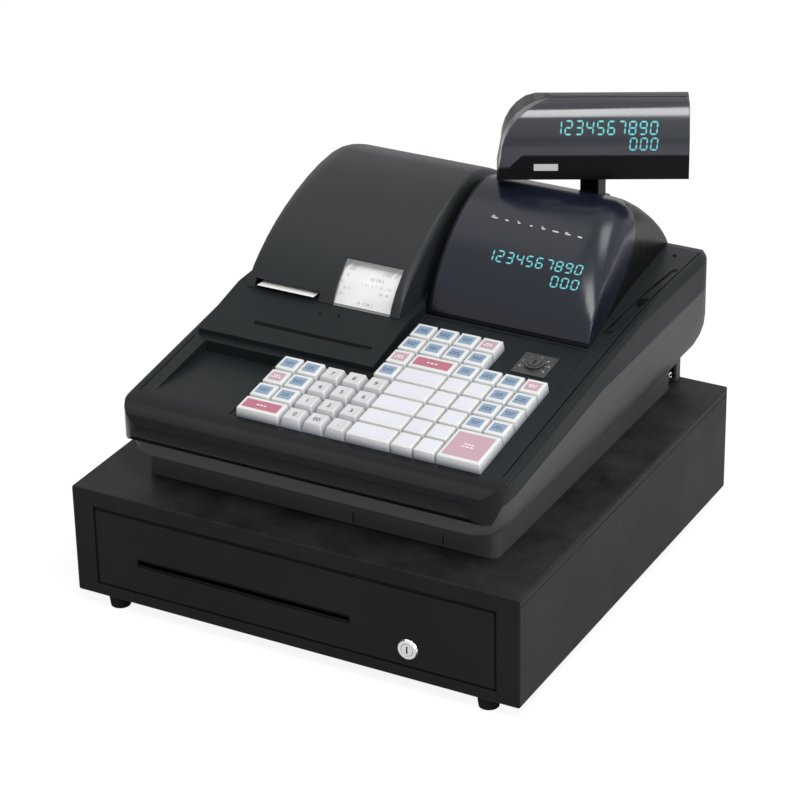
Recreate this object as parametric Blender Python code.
"""Ticket register: an electronic till with a printer, two displays and a keyboard on a cash drawer.

Metres, +Z up, the front faces -Y. The pieces are modelled with x and y measured from the
middle of the cash drawer and z from the counter; at the end one empty moves them all so
that the middle of the whole outline lies over the origin.
"""
import math

import bpy
import bmesh
from mathutils import Matrix, Vector

# Cash drawer case
drawer_width = 0.410
drawer_depth = 0.404
drawer_height = 0.098
foot_height = 0.012
foot_radius = 0.0098
foot_bottom_radius = 0.0084
foot_inset_x = 0.033
foot_inset_y = 0.0125
case_sheet = 0.0012
case_edge_radius = 0.0016
frame_side = 0.0200
frame_top = 0.0144
frame_bottom = 0.0105
frame_fold = 0.012
cover_seam_drop = 0.0066
cover_seam_height = 0.0009
cover_seam_depth = 0.0005
cable_hole_radius = 0.007
cable_hole_height = 0.030
cable_hole_offset = 0.060

# Sliding drawer
front_clearance = 0.0008
front_fold = 0.011
slot_length = 0.200
slot_height = 0.0042
slot_middle_x = -0.0448
slot_middle_z = 0.0405
lock_x = 0.1072
lock_z = 0.0280
lock_rim_radius = 0.0092
lock_rim_depth = 0.0022
lock_barrel_radius = 0.0078
lock_barrel_length = 0.018
lock_plug_radius = 0.0052
key_slot_length = 0.0066
key_slot_width = 0.0014
key_slot_depth = 0.006
cam_length = 0.023
cam_width = 0.008
cam_thickness = 0.0022
pan_side_margin = 0.035
pan_wall = 0.0012
pan_floor_height = 0.0135
pan_wall_top = 0.0780
pan_rear_margin = 0.044
pan_flange_width = 0.012
pan_flange_height = 0.030
striker_reach = 0.0162
striker_half_width = 0.004
striker_height = 0.0342
rail_wall = 0.0015
rail_gap = 0.0009
rail_reach = 0.016
rail_rear_margin = 0.016

# Till tray with its note clips
tray_clearance = 0.0006
tray_wall = 0.0022
tray_floor_height = 0.0445
tray_rim_height = 0.0020
tray_rim_overlap = 0.0011
tray_front_margin = 0.014
tray_rear_margin = 0.0037
note_bay_count = 4
note_bay_depth = 0.180
coin_row_count = 2
coin_scoop_share = 0.16
clip_width = 0.046
clip_thickness = 0.0022
clip_length = 0.120
clip_pivot_radius = 0.0024
clip_pivot_height = 0.030
clip_pivot_inset = 0.012
clip_foot_length = 0.022
pin_reach_share = 0.4

# Latch behind the drawer
latch_x = 0.060
solenoid_size_x = 0.026
solenoid_size_y = 0.024
solenoid_size_z = 0.022
solenoid_height = 0.066
plunger_radius = 0.0042
plunger_length = 0.026
hook_thickness = 0.003
hook_pivot_radius = 0.0022
hook_height = 0.044
hook_reach = 0.016
bracket_thickness = 0.002

# Lower half of the register's housing
register_shift = 0.001
running_gap = 0.0003
seam_gap = 0.0005
housing_wall = 0.0025
plinth_half_width = 0.161
plinth_front = -0.155
plinth_rear = 0.203
plinth_height = 0.024
lip_front = -0.175
waist_half_width = 0.174
waist_height = 0.055
lower_rear = 0.248
corner_radius_front = 0.026
corner_radius_rear = 0.036
plinth_corner_radius = 0.007
belly_lip_shares = (0.0, 0.1, 1.0, 1.0, 1.0, 1.0)
port_width = 0.016
port_height = 0.018
port_inset = 0.014

# Seam between the two halves, as heights over the drawer's top
seam_front_height = 0.0432
seam_side_front_height = 0.0560
seam_side_front_y = -0.166
seam_middle_height = 0.0775
seam_middle_y = 0.010
seam_rear_height = 0.0815

# Upper half of the register's housing
deck_half_width = 0.1657
deck_crease_y = -0.158
deck_crease_height = 0.0742
deck_slope_share = 0.135
deck_bend_y = 0.040
deck_rear_height = 0.1105
deck_rear_y = 0.150
nose_front = -0.187
nose_height = 0.060
lip_pull_share = 0.9
nose_pull_share = 0.6
bend_step_count = 5
shoulder_radius = 0.0095
rear_round = 0.024
rear_edge_radius = 0.0085
groove_width = 0.0012
groove_depth = 0.0020
channel_start = (0.1532, 0.056)
channel_end = (0.1612, 0.182)
channel_width = 0.0026

# Pen tray pressed into the deck
pen_tray_left = -0.1525
pen_tray_right = -0.0785
pen_tray_front = -0.149
pen_tray_rear = -0.0695
pen_tray_drop = 0.0105

# Printer platform on the deck
platform_left = -0.1635
platform_right = 0.0025
platform_front = -0.0625
platform_front_rise = 0.0050
platform_top_y = 0.004
platform_top_rise = 0.0115
platform_rear_rise = 0.0025
platform_root_share = 0.8
slip_slot_length = 0.111
slip_slot_width = 0.0026
slip_slot_depth = 0.0030
slip_slot_x = -0.0655
slip_slot_y = -0.0415
bay_margin = 0.0030
bay_front_margin = 0.010
bay_rear_margin = 0.0028

# Printer cover
cover_left = -0.152
cover_right = -0.006
cover_front = -0.001
cover_rear = 0.228
cover_ridge_y = 0.142
cover_ridge_height = 0.1820
cover_edge_run = 0.020
cover_edge_drop_share = 0.18
cover_front_pull_shares = (0.06, 0.36, 0.50, 0.04)
cover_rear_pull_shares = (0.42, 0.05, 0.55)
cover_wall = 0.0022
hinge_pin_radius = 0.0018
hinge_inset = 0.0075
hinge_rise = 0.0055
hinge_sweep = 0.0096
hinge_neck_share = 0.75
window_left = -0.0690
window_right = -0.0150
window_rear = 0.0262
window_pane = 0.0010
receipt_slot_left = -0.1455
receipt_slot_right = -0.0830
receipt_slot_height = 0.0045
receipt_slot_rise = 0.0035

# Printer chassis, rolls and paper
chassis_gap = 0.0015
chassis_wall = 0.0016
ear_share = 0.8
chassis_front = 0.016
chassis_foot_rear = 0.197
chassis_foot_height = 0.032
chassis_floor_height = 0.060
roll_radius = 0.034
roll_width = 0.057
roll_y = 0.168
roll_height = 0.104
spindle_radius = 0.006
platen_radius = 0.007
platen_y = 0.031
platen_drop = 0.0039
platen_pin_radius = 0.003
spool_y = 0.096
spool_height = 0.126
spool_flange_radius = 0.021
spool_core_radius = 0.007
spool_flange_width = 0.0015
spool_pin_radius = 0.003
paper_thickness = 0.0006
paper_width = 0.0545

# Operator display
hood_left = 0.0005
hood_right = 0.1515
hood_narrowing = 0.090
hood_front = 0.031
hood_rear = 0.229
hood_ridge_y = 0.134
hood_ridge_height = 0.1838
hood_edge_run = 0.032
hood_edge_drop_share = 0.30
hood_front_pull_shares = (0.06, 0.40, 0.50, 0.04)
hood_rear_pull_shares = (0.35, 0.15, 0.45)
hood_wall = 0.0025
lens_wall = 0.0020
lens_left_margin = 0.0055
lens_bottom_margin = 0.0030
lens_top_y = 0.163
lens_side = ((0.151, 0.176), (0.144, 0.160), (0.141, 0.146), (0.123, 0.130), (0.094, 0.1155))
lens_foot_y = 0.064
module_width = 0.116
module_height = 0.040
module_depth = 0.010
module_setback = 0.0062

# Customer display
post_x = 0.087
post_y = 0.175
post_width = 0.0172
post_depth = 0.0158
post_length = 0.130
socket_wall = 0.0022
socket_gap = 0.0004
head_yaw_deg = 26.6
head_height = 0.0652
head_left = -0.0815
head_right = 0.0795
head_front = -0.0235
head_rear = 0.0240
head_gap = 0.0082
head_band = 0.0215
head_corner_radius = 0.046
head_lean = 0.0034
head_front_pull_shares = (0.62, 0.75)
head_rear_pull_shares = (0.6, 0.95, 0.78)
head_edge = 0.0022
head_lens_wall = 0.0022
head_lens_depth = 0.022
head_module_left = -0.050
head_module_right = 0.066
head_module_height = 0.027
head_module_inset = 0.0075
swivel_pin_radius = 0.006
swivel_pin_length = 0.014

# Keyboard
key_pitch_x = 0.0201
key_pitch_y = 0.0207
key_gap = 0.0008
key_rise = 0.0072
key_travel = 0.0034
key_pocket_depth = 0.0064
key_taper = 0.0011
key_edge_radius = 0.0008
digit_taper = 0.0024
stem_width = 0.006
stem_length = 0.0075
stem_gap = 0.0004
key_first_x = -0.0634
key_first_y = -0.0022
key_column_count = 11
bed_thickness = 0.0088
bed_drop = 0.0005
bed_margin = 0.0045
bed_lock_margin = 0.0195
bed_step_y = -0.0712
mode_lock_x = 0.1215
mode_lock_y = -0.006
mode_plate_size = 0.030
mode_plate_rise = 0.0008
mode_barrel_radius = 0.0085
mode_barrel_rise = 0.0030
mode_plug_radius = 0.0058
mode_plug_length = 0.020
plug_rise = 0.0006

overrun = 0.004
flat_tolerance = 0.000002
weld_distance = 0.000001
flat_angle = 0.001
mitre_share = 0.4
turn_steps = 28
small_steps = 16
curve_steps = 10

drawer_top = foot_height + drawer_height
deck_angle = math.atan(deck_slope_share)


def clear_scene():
    for old in list(bpy.data.objects):
        bpy.data.objects.remove(old, do_unlink=True)


clear_scene()

parts = bpy.data.collections.new("ticket_register")
cutters = bpy.data.collections.new("cutters")
bpy.context.scene.collection.children.link(parts)
bpy.context.scene.collection.children.link(cutters)


def material(name, colour, roughness, metallic=0.0):
    made = bpy.data.materials.new(name)
    made.use_nodes = True
    shader = made.node_tree.nodes["Principled BSDF"]
    shader.inputs["Base Color"].default_value = (*colour, 1.0)
    shader.inputs["Roughness"].default_value = roughness
    shader.inputs["Metallic"].default_value = metallic
    return made


def add_object(name, mesh_data, look=None, place=(0.0, 0.0, 0.0), turn=(0.0, 0.0, 0.0)):
    """Puts bmesh data in a new object: a part when it has a look, otherwise a cutter."""
    mesh = bpy.data.meshes.new(name)
    mesh_data.to_mesh(mesh)
    mesh_data.free()
    made = bpy.data.objects.new(name, mesh)
    made.location = place
    made.rotation_euler = turn
    if look is None:
        made.display_type = 'WIRE'
        made.hide_render = True
        cutters.objects.link(made)
    else:
        mesh.materials.append(look)
        parts.objects.link(made)
    return made


def smooth(made, angle_deg=35):
    made.data.shade_smooth()
    made.data.set_sharp_from_angle(angle=math.radians(angle_deg))


def combine(target, other, operation):
    step = target.modifiers.new(operation.lower(), 'BOOLEAN')
    step.operation = operation
    step.solver = 'EXACT'
    step.object = other
    return target


def helper(target, mesh_data):
    """A hidden solid that stands where its target stands."""
    return add_object(target.name + "_helper", mesh_data, place=target.location,
                      turn=target.rotation_euler)


def cut(target, mesh_data):
    return combine(target, helper(target, mesh_data), 'DIFFERENCE')


def join(target, mesh_data):
    return combine(target, helper(target, mesh_data), 'UNION')


def keep(target, mesh_data):
    return combine(target, helper(target, mesh_data), 'INTERSECT')


def merged(*pieces):
    """One bmesh that holds several separate solids."""
    whole = bmesh.new()
    for piece in pieces:
        spare = bpy.data.meshes.new("spare")
        piece.to_mesh(spare)
        piece.free()
        whole.from_mesh(spare)
        bpy.data.meshes.remove(spare)
    return whole


def box(low, high, edge=0.0, edge_steps=2):
    solid = bmesh.new()
    bmesh.ops.create_cube(solid, size=1.0)
    low = Vector(low)
    high = Vector(high)
    size = high - low
    bmesh.ops.scale(solid, vec=size, verts=solid.verts)
    bmesh.ops.translate(solid, vec=(low + high) / 2, verts=solid.verts)
    if edge > 0:
        bmesh.ops.bevel(solid, geom=solid.edges, offset=edge, segments=edge_steps,
                        profile=0.5, affect='EDGES')
    return solid


def rod(start, end, radius, end_radius=None, steps=turn_steps):
    start = Vector(start)
    end = Vector(end)
    if end_radius is None:
        end_radius = radius
    solid = bmesh.new()
    bmesh.ops.create_cone(solid, cap_ends=True, segments=steps, radius1=radius,
                          radius2=end_radius, depth=(end - start).length)
    turn = (end - start).to_track_quat('Z', 'Y').to_matrix().to_4x4()
    bmesh.ops.transform(solid, matrix=Matrix.Translation((start + end) / 2) @ turn,
                        verts=solid.verts)
    return solid


def flat_plate(outline, thickness, place):
    """A closed outline as a filled 2D curve, extruded to its thickness and made a mesh."""
    curve = bpy.data.curves.new("outline", 'CURVE')
    curve.dimensions = '2D'
    curve.fill_mode = 'BOTH'
    curve.extrude = thickness / 2
    line = curve.splines.new('POLY')
    line.points.add(len(outline) - 1)
    for point, (across, along) in zip(line.points, outline):
        point.co = (across, along, 0.0, 1.0)
    line.use_cyclic_u = True
    guide = bpy.data.objects.new("outline", curve)
    cutters.objects.link(guide)
    depsgraph = bpy.context.evaluated_depsgraph_get()
    mesh = bpy.data.meshes.new_from_object(guide.evaluated_get(depsgraph))
    bpy.data.objects.remove(guide, do_unlink=True)
    bpy.data.curves.remove(curve)
    solid = bmesh.new()
    solid.from_mesh(mesh)
    bpy.data.meshes.remove(mesh)
    bmesh.ops.remove_doubles(solid, verts=solid.verts, dist=weld_distance)
    flat = [edge for edge in solid.edges if edge.calc_face_angle(1.0) < flat_angle]
    bmesh.ops.dissolve_edges(solid, edges=flat, use_verts=False)
    bmesh.ops.recalc_face_normals(solid, faces=solid.faces)
    bmesh.ops.transform(solid, matrix=place, verts=solid.verts)
    return solid


def side_plate(outline, left, right):
    """An outline of (y, z) points, extruded along X."""
    place = Matrix.Translation(((left + right) / 2, 0.0, 0.0)) @ Matrix(
        ((0, 0, 1, 0), (1, 0, 0, 0), (0, 1, 0, 0), (0, 0, 0, 1)))
    return flat_plate(outline, right - left, place)


def front_plate(outline, front, rear):
    """An outline of (x, z) points, extruded along Y."""
    place = Matrix.Translation((0.0, (front + rear) / 2, 0.0)) @ Matrix(
        ((1, 0, 0, 0), (0, 0, -1, 0), (0, 1, 0, 0), (0, 0, 0, 1)))
    return flat_plate(outline, rear - front, place)


def floor_plate(outline, bottom, top):
    """An outline of (x, y) points, extruded along Z."""
    return flat_plate(outline, top - bottom, Matrix.Translation((0.0, 0.0, (bottom + top) / 2)))


def loft(rings):
    """Skins closed rings that have the same number of points and caps both ends.

    Twisted four-sided faces are split along one fixed diagonal, so that nested forms stay nested.
    """
    solid = bmesh.new()
    rows = [[solid.verts.new(point) for point in ring] for ring in rings]
    count = len(rows[0])
    for near, far in zip(rows, rows[1:]):
        for step in range(count):
            after = (step + 1) % count
            corners = [near[step], near[after], far[after], far[step]]
            normal = (corners[2].co - corners[0].co).cross(corners[3].co - corners[1].co).normalized()
            twist = abs(normal.dot(corners[1].co - corners[0].co))
            if twist < flat_tolerance:
                solid.faces.new(corners)
            else:
                solid.faces.new(corners[:3])
                solid.faces.new((corners[0], corners[2], corners[3]))
    solid.faces.new(rows[0])
    solid.faces.new(rows[-1])
    bmesh.ops.recalc_face_normals(solid, faces=solid.faces)
    return solid


def bezier(start, pull_start, pull_end, end, steps=curve_steps):
    points = []
    for step in range(steps + 1):
        along = step / steps
        back = 1 - along
        points.append(tuple(
            back ** 3 * a + 3 * back ** 2 * along * b + 3 * back * along ** 2 * c + along ** 3 * d
            for a, b, c, d in zip(start, pull_start, pull_end, end)))
    return points


def rounded_plan(half_width, front, rear, front_radius_x, front_radius_y, rear_radius, steps=6):
    """A plan outline with round corners, centred on x = 0, anticlockwise from the rear right."""
    corners = (
        (half_width, rear, rear_radius, rear_radius, 0.0),
        (-half_width, rear, rear_radius, rear_radius, 90.0),
        (-half_width, front, front_radius_x, front_radius_y, 180.0),
        (half_width, front, front_radius_x, front_radius_y, 270.0))
    points = []
    for x, y, radius_x, radius_y, start_deg in corners:
        middle_x = x - math.copysign(radius_x, x)
        middle_y = y - radius_y if y == rear else y + radius_y
        for step in range(steps + 1):
            angle = math.radians(start_deg + 90.0 * step / steps)
            points.append((middle_x + radius_x * math.cos(angle), middle_y + radius_y * math.sin(angle)))
    return points


def line_height(points, y):
    """Height at a depth y of a side line of (y, z) points that runs from front to rear."""
    for start, end in zip(points, points[1:]):
        if start[0] <= y <= end[0]:
            return start[1] + (end[1] - start[1]) * (y - start[0]) / (end[0] - start[0])
    return points[-1][1]


def inset_chain(points, distance, closed=False):
    """Moves an outline to its right-hand side by a distance, with mitred corners."""
    count = len(points)
    moved = []
    for index, point in enumerate(points):
        before = points[index - 1] if index or closed else None
        after = points[(index + 1) % count] if index < count - 1 or closed else None
        normals = []
        for start, end in ((before, point), (point, after)):
            if start is None or end is None:
                continue
            run = Vector((end[0] - start[0], end[1] - start[1]))
            if run.length > 0:
                run.normalize()
                normals.append(Vector((run.y, -run.x)))
        if len(normals) == 2:
            middle = (normals[0] + normals[1]).normalized()
            reach = distance / max(middle.dot(normals[0]), mitre_share)
        else:
            middle = normals[0]
            reach = distance
        moved.append((point[0] + middle.x * reach, point[1] + middle.y * reach))
    return moved


painted_steel = material("painted_steel", (0.028, 0.028, 0.030), 0.45, 0.0)
zinc_steel = material("zinc_steel", (0.50, 0.50, 0.50), 0.40, 1.0)
chrome = material("chrome", (0.75, 0.75, 0.76), 0.12, 1.0)
black_rubber = material("black_rubber", (0.012, 0.012, 0.012), 0.85)
tray_plastic = material("tray_plastic", (0.030, 0.030, 0.032), 0.50)
housing_plastic = material("housing_plastic", (0.042, 0.046, 0.048), 0.42)
base_plastic = material("base_plastic", (0.060, 0.060, 0.060), 0.50)
smoked_lens = material("smoked_lens", (0.020, 0.022, 0.032), 0.08)
display_green = material("display_green", (0.06, 0.35, 0.33), 0.25)
key_white = material("key_white", (0.72, 0.72, 0.69), 0.35)
key_red = material("key_red", (0.55, 0.14, 0.18), 0.35)
paper_white = material("paper_white", (0.85, 0.84, 0.82), 0.80)
dark_metal = material("dark_metal", (0.10, 0.10, 0.11), 0.45, 1.0)
roller_rubber = material("roller_rubber", (0.030, 0.030, 0.030), 0.70)


def deck_z(y):
    """Height of the deck's surface at a depth y."""
    start = drawer_top + deck_crease_height
    bend = start + deck_slope_share * (deck_bend_y - deck_crease_y)
    level = drawer_top + deck_rear_height
    if y <= deck_bend_y:
        return start + deck_slope_share * (y - deck_crease_y)
    if y >= deck_rear_y:
        return level
    along = (y - deck_bend_y) / (deck_rear_y - deck_bend_y)
    slope_end = deck_slope_share * (deck_rear_y - deck_bend_y)
    back = 1 - along
    return (back ** 3 * bend + 3 * back ** 2 * along * (bend + slope_end / 3)
            + 3 * back * along ** 2 * level + along ** 3 * level)


def platform_z(y):
    """Height of the raised printer platform at a depth y."""
    front_z = deck_z(platform_front) + platform_front_rise
    top_z = deck_z(platform_top_y) + platform_top_rise
    rear_z = drawer_top + deck_rear_height + platform_rear_rise
    if y <= platform_top_y:
        return front_z + (top_z - front_z) * (y - platform_front) / (platform_top_y - platform_front)
    if y >= deck_rear_y:
        return rear_z
    return top_z + (rear_z - top_z) * (y - platform_top_y) / (deck_rear_y - platform_top_y)


def seam_line(drop=0.0):
    """The parting line of the two housing halves as (y, z) points from front to rear."""
    return [
        (lip_front - overrun, drawer_top + seam_front_height - drop),
        (lip_front, drawer_top + seam_front_height - drop),
        (seam_side_front_y, drawer_top + seam_side_front_height - drop),
        (seam_middle_y, drawer_top + seam_middle_height - drop),
        (lower_rear, drawer_top + seam_rear_height - drop),
        (lower_rear + overrun, drawer_top + seam_rear_height - drop)]


# Cash drawer

def drawer_case():
    half = drawer_width / 2
    front = -drawer_depth / 2
    rear = drawer_depth / 2
    case = add_object("drawer_case", box((-half, front, foot_height), (half, rear, drawer_top),
                                         case_edge_radius), painted_steel)
    cut(case, box((-half + case_sheet, front + frame_fold, foot_height + case_sheet),
                  (half - case_sheet, rear - case_sheet, drawer_top - case_sheet)))
    cut(case, box((-half + frame_side, front - overrun, foot_height + frame_bottom),
                  (half - frame_side, front + frame_fold + overrun, drawer_top - frame_top)))
    seam_top = drawer_top - cover_seam_drop
    cut(case, merged(
        box((-half - overrun, front - overrun, seam_top - cover_seam_height),
            (-half + cover_seam_depth, rear + overrun, seam_top)),
        box((half - cover_seam_depth, front - overrun, seam_top - cover_seam_height),
            (half + overrun, rear + overrun, seam_top))))
    cable_z = foot_height + cable_hole_height
    cable_x = -half + cable_hole_offset
    cut(case, rod((cable_x, rear - overrun, cable_z), (cable_x, rear + overrun, cable_z),
                  cable_hole_radius, steps=small_steps))


def drawer_feet():
    profile = [(0.0, foot_height - running_gap), (foot_radius, foot_height - running_gap),
               (foot_bottom_radius, 0.0), (0.0, 0.0)]
    for side, side_name in ((-1, "left"), (1, "right")):
        for end, end_name in ((-1, "front"), (1, "rear")):
            x = side * (drawer_width / 2 - foot_inset_x)
            y = end * (drawer_depth / 2 - foot_inset_y)
            foot = add_object(f"foot_{end_name}_{side_name}", turned(profile), black_rubber,
                              place=(x, y, 0.0))
            smooth(foot)


def turned(profile, steps=turn_steps):
    """A profile of (radius, z) points, top to bottom on the outer side, spun about Z."""
    solid = bmesh.new()
    line = [solid.verts.new((radius, 0.0, z)) for radius, z in profile]
    edges = [solid.edges.new(pair) for pair in zip(line, line[1:])]
    bmesh.ops.spin(solid, geom=line + edges, cent=(0.0, 0.0, 0.0), axis=(0.0, 0.0, 1.0),
                   angle=math.tau, steps=steps, use_merge=True, use_duplicate=False)
    bmesh.ops.remove_doubles(solid, verts=solid.verts, dist=weld_distance)
    bmesh.ops.dissolve_limit(solid, angle_limit=flat_angle, verts=solid.verts, edges=solid.edges)
    bmesh.ops.recalc_face_normals(solid, faces=solid.faces)
    return solid


def drawer_front():
    half = drawer_width / 2 - frame_side - front_clearance
    front = -drawer_depth / 2
    low = foot_height + frame_bottom + front_clearance
    high = drawer_top - frame_top - front_clearance
    panel = add_object("drawer_front", box((-half, front, low), (half, front + front_fold, high),
                                           case_edge_radius / 2), painted_steel)
    cut(panel, box((-half + case_sheet, front + case_sheet, low + case_sheet),
                   (half - case_sheet, front + front_fold + overrun, high - case_sheet)))
    slot_z = foot_height + slot_middle_z
    cut(panel, box((slot_middle_x - slot_length / 2, front - overrun, slot_z - slot_height / 2),
                   (slot_middle_x + slot_length / 2, front + overrun, slot_z + slot_height / 2)))
    lock_centre_z = foot_height + lock_z
    cut(panel, rod((lock_x, front - overrun, lock_centre_z), (lock_x, front + overrun, lock_centre_z),
                   lock_barrel_radius + running_gap))


def drawer_lock():
    front = -drawer_depth / 2
    z = foot_height + lock_z
    face = front - lock_rim_depth
    barrel = add_object("drawer_lock_barrel", rod((lock_x, front - running_gap, z), (lock_x, face, z),
                                                  lock_rim_radius, lock_rim_radius - lock_rim_depth / 2),
                        chrome)
    join(barrel, rod((lock_x, face + lock_rim_depth / 2, z), (lock_x, face + lock_barrel_length, z),
                     lock_barrel_radius))
    bore = lock_plug_radius + running_gap
    cut(barrel, rod((lock_x, face - overrun, z), (lock_x, face + lock_barrel_length + overrun, z), bore))
    smooth(barrel)

    cam_start = lock_barrel_length + running_gap
    plug = add_object("drawer_lock_plug", rod((0.0, 0.0, 0.0), (0.0, cam_start + cam_thickness, 0.0),
                                              lock_plug_radius), chrome,
                      place=(lock_x, face, z))
    join(plug, box((-cam_length, cam_start, -cam_width / 2),
                   (0.0, cam_start + cam_thickness, cam_width / 2)))
    cut(plug, box((-key_slot_width / 2, -overrun, -key_slot_length / 2),
                  (key_slot_width / 2, key_slot_depth, key_slot_length / 2)))
    smooth(plug)


def pan_half_width():
    return drawer_width / 2 - pan_side_margin


def pan_front_y():
    return -drawer_depth / 2 + front_fold + running_gap


def pan_rear():
    return drawer_depth / 2 - pan_rear_margin


def drawer_pan():
    half = pan_half_width()
    front, rear = pan_front_y(), pan_rear()
    low = foot_height + pan_floor_height
    high = foot_height + pan_wall_top
    pan = add_object("drawer_pan", box((-half, front, low), (half, rear, high)), zinc_steel)
    cut(pan, box((-half + pan_wall, front + pan_wall, low + pan_wall),
                 (half - pan_wall, rear - pan_wall, high + overrun)))
    flange_z = foot_height + pan_flange_height
    for side in (-1, 1):
        inner = side * (half - pan_wall / 2)
        outer = side * (half + pan_flange_width)
        join(pan, box((min(inner, outer), front, flange_z),
                      (max(inner, outer), rear, flange_z + pan_wall)))
    slot_z = foot_height + slot_middle_z
    cut(pan, box((slot_middle_x - slot_length / 2 - overrun, front - overrun, slot_z - slot_height),
                 (slot_middle_x + slot_length / 2 + overrun, front + overrun, slot_z + slot_height)))
    lock_centre_z = foot_height + lock_z
    cut(pan, rod((lock_x, front - overrun, lock_centre_z), (lock_x, front + overrun, lock_centre_z),
                 lock_barrel_radius + front_clearance, steps=small_steps))

    # Slot in the floor for the lock's cam, and the striker for the latch
    cam_y = -drawer_depth / 2 - lock_rim_depth + lock_barrel_length + running_gap
    cut(pan, box((lock_x - cam_length, cam_y - front_clearance, low - overrun),
                 (lock_x + cam_width, cam_y + cam_thickness + front_clearance, low + overrun)))
    striker_rear = rear + striker_reach
    join(pan, box((latch_x - striker_half_width, rear - pan_wall / 2, low),
                  (latch_x + striker_half_width, striker_rear, low + pan_wall)))
    join(pan, box((latch_x - striker_half_width, striker_rear - pan_wall, low + pan_wall / 2),
                  (latch_x + striker_half_width, striker_rear, foot_height + striker_height)))


def case_rails():
    front = -drawer_depth / 2 + frame_fold + front_clearance
    rear = drawer_depth / 2 - case_sheet - rail_rear_margin
    flange_low = foot_height + pan_flange_height
    low = flange_low - rail_gap - rail_wall
    high = flange_low + pan_wall + rail_gap + rail_wall
    for side, side_name in ((-1, "left"), (1, "right")):
        wall = side * (drawer_width / 2 - case_sheet - running_gap)
        flange_tip = pan_half_width() + pan_flange_width
        tip = side * (flange_tip - rail_reach / 2)
        bottom = side * (flange_tip + rail_gap)
        web = bottom + side * rail_wall
        rail = add_object("case_rail_" + side_name,
                          box((min(web, tip), front, low), (max(web, tip), rear, high)), zinc_steel)
        cut(rail, box((min(bottom, tip - side * overrun), front - overrun, low + rail_wall),
                      (max(bottom, tip - side * overrun), rear + overrun, high - rail_wall)))
        root = (bottom + web) / 2
        join(rail, box((min(wall, root), front, low), (max(wall, root), rear, low + rail_wall)))


def tray_cups(front, rear, left, right, columns, rows, floor, top):
    """Pockets with a round scoop at their front and rear, in a regular grid."""
    width = (right - left - (columns + 1) * tray_wall) / columns
    depth = (rear - front - (rows + 1) * tray_wall) / rows
    scoop = depth * coin_scoop_share
    pockets = []
    for column in range(columns):
        for row in range(rows):
            x = left + tray_wall + column * (width + tray_wall)
            y = front + tray_wall + row * (depth + tray_wall)
            outline = ([(y, top), (y, floor + scoop)]
                       + [(y + scoop - scoop * math.cos(math.radians(a)),
                           floor + scoop - scoop * math.sin(math.radians(a))) for a in (22.5, 45, 67.5, 90)]
                       + [(y + depth - scoop + scoop * math.sin(math.radians(a)),
                           floor + scoop - scoop * math.cos(math.radians(a))) for a in (0, 22.5, 45, 67.5)]
                       + [(y + depth, floor + scoop), (y + depth, top)])
            pockets.append(side_plate(outline, x, x + width))
    return merged(*pockets)


def tray_edges():
    front = pan_front_y() + tray_front_margin
    low = foot_height + tray_floor_height
    rim_low = foot_height + pan_wall_top + running_gap
    half = pan_half_width() - pan_wall - tray_clearance
    return front, pan_rear() - tray_rear_margin, low, rim_low, half


def till_tray():
    front, rear, low, rim_low, half = tray_edges()
    top = rim_low + tray_rim_height
    tray = add_object("till_tray", box((-half, front, low), (half, rear, top)), tray_plastic)
    rim_half = pan_half_width() + tray_rim_overlap - pan_wall / 2
    join(tray, box((-rim_half, front, rim_low), (rim_half, rear, top)))
    bay_front = rear - note_bay_depth
    bay_width = (2 * half - (note_bay_count + 1) * tray_wall) / note_bay_count
    floor = low + tray_wall
    bays = []
    for bay in range(note_bay_count):
        x = -half + tray_wall + bay * (bay_width + tray_wall)
        bays.append(box((x, bay_front + tray_wall, floor), (x + bay_width, rear - tray_wall, top + overrun)))
    cut(tray, merged(*bays))
    cut(tray, tray_cups(front, bay_front + tray_wall, -half, half, note_bay_count,
                        coin_row_count, floor, top + overrun))
    pivot_y = rear - tray_wall - clip_pivot_inset
    pivot_z = floor + clip_pivot_height
    cut(tray, rod((-half + tray_wall / 4, pivot_y, pivot_z), (half - tray_wall / 4, pivot_y, pivot_z),
                  clip_pivot_radius + running_gap, steps=small_steps))


def note_clips():
    front, rear, low, rim_low, half = tray_edges()
    floor = low + tray_wall
    bay_width = (2 * half - (note_bay_count + 1) * tray_wall) / note_bay_count
    pivot_y = rear - tray_wall - clip_pivot_inset
    pivot_z = floor + clip_pivot_height
    drop = clip_pivot_height - clip_thickness - running_gap
    shape = [(0.0, clip_thickness), (-clip_foot_length, clip_thickness),
             (-clip_length + clip_foot_length, -drop + clip_thickness),
             (-clip_length, -drop + clip_thickness), (-clip_length - clip_foot_length / 4, -drop / 2),
             (-clip_length - clip_foot_length / 2, -drop / 2), (-clip_length - clip_foot_length / 4, -drop),
             (-clip_length + clip_foot_length, -drop), (-clip_foot_length, -clip_thickness),
             (0.0, -clip_thickness)]
    for bay in range(note_bay_count):
        middle = -half + tray_wall + bay * (bay_width + tray_wall) + bay_width / 2
        place = (middle, pivot_y, pivot_z)
        clip = add_object(f"note_clip_{bay + 1}", side_plate(shape, -clip_width / 2, clip_width / 2),
                          tray_plastic, place=place)
        pin_half = bay_width / 2 + tray_wall * pin_reach_share
        join(clip, rod((-pin_half, 0.0, 0.0), (pin_half, 0.0, 0.0), clip_pivot_radius, steps=small_steps))


# Latch at the back of the case

def latch_floor():
    return foot_height + case_sheet + running_gap


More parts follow.
